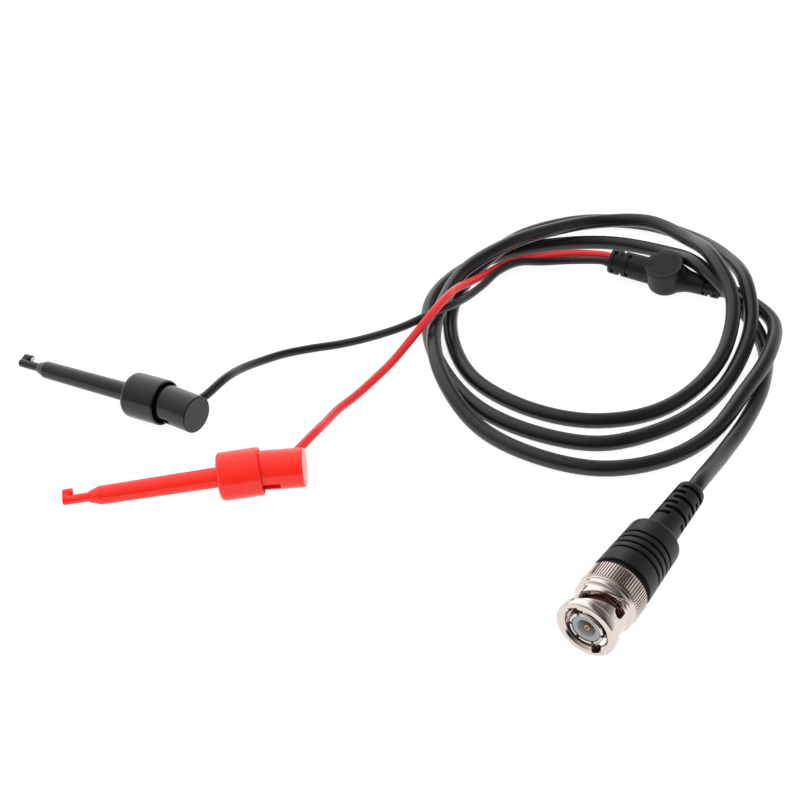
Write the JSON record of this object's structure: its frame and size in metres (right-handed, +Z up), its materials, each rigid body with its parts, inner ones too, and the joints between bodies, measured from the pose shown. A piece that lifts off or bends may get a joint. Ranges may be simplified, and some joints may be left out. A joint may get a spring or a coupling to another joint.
{
  "type": "oscilloscope probe",
  "caption": "Coiled coax test lead: bayonet plug with turning nut, moulded splitter, and black and red leads to two spring-loaded hook clips.",
  "frame": {"origin": "middle of the base of the plug, splitter and two clips, on the table they lie on", "axes": "+Z up; +X from the clips towards the coil, plug and splitter; +Y away from the plug's open end towards the splitter"},
  "size_m": [0.2034, 0.1702, 0.0163],
  "materials": {
    "nickel": "bright warm nickel plate",
    "gold": "gold plate",
    "steel": "bright steel",
    "brass": "plain brass",
    "insulator": "milky grey-blue plastic",
    "silicone": "red silicone",
    "inner_mould": "natural polyethylene",
    "black_pvc": "satin black PVC",
    "black_lead_pvc": "satin black PVC",
    "red_pvc": "satin red PVC",
    "gloss_black": "gloss black nylon",
    "gloss_red": "gloss red nylon"
  },
  "bodies": {
    "lead": {"plug_body": "nickel", "gasket": "silicone", "insulator": "insulator", "centre_pin": "gold", "wave_washer": "steel", "retaining_ring": "steel", "crimp_ferrule": "nickel", "plug_inner_mould": "inner_mould", "plug_overmould": "black_pvc", "coax_plug_end": "black_pvc", "coax_cable": "black_pvc", "coax_splitter_end": "black_pvc", "splitter_housing": "black_pvc", "splitter_core": "inner_mould", "black_splice": "black_pvc", "red_splice": "red_pvc", "black_lead": "black_lead_pvc", "red_lead": "red_pvc", "black_button": "gloss_black", "black_hook": "gloss_black", "black_hook_contact": "steel", "black_rod": "steel", "black_spring": "steel", "black_terminal": "brass", "red_button": "gloss_red", "red_hook": "gloss_red", "red_hook_contact": "steel", "red_rod": "steel", "red_spring": "steel", "red_terminal": "brass"},
    "coupling_nut": {"coupling_nut": "nickel"},
    "black_barrel": {"black_barrel": "gloss_black"},
    "red_barrel": {"red_barrel": "gloss_red"}
  },
  "joints": [
    {"name": "nut_turn", "type": "hinge", "parent": "lead", "child": "coupling_nut", "pos_m": [0.0488, -0.06338, 0.00725], "axis": [-0.5621, -0.8271, 0], "continuous": true},
    {"name": "black_clip_open", "type": "slide", "parent": "lead", "child": "black_barrel", "axis": [0.8857, -0.4493, 0.1167], "range_m": [0, 0.0045], "stiffness_N_per_m": 400, "springref_m": -0.008, "deforming": ["black_spring"]},
    {"name": "red_clip_open", "type": "slide", "parent": "lead", "child": "red_barrel", "axis": [0.9849, 0.1279, 0.1167], "range_m": [0, 0.0045], "stiffness_N_per_m": 400, "springref_m": -0.008, "deforming": ["red_spring"]}
  ]
}
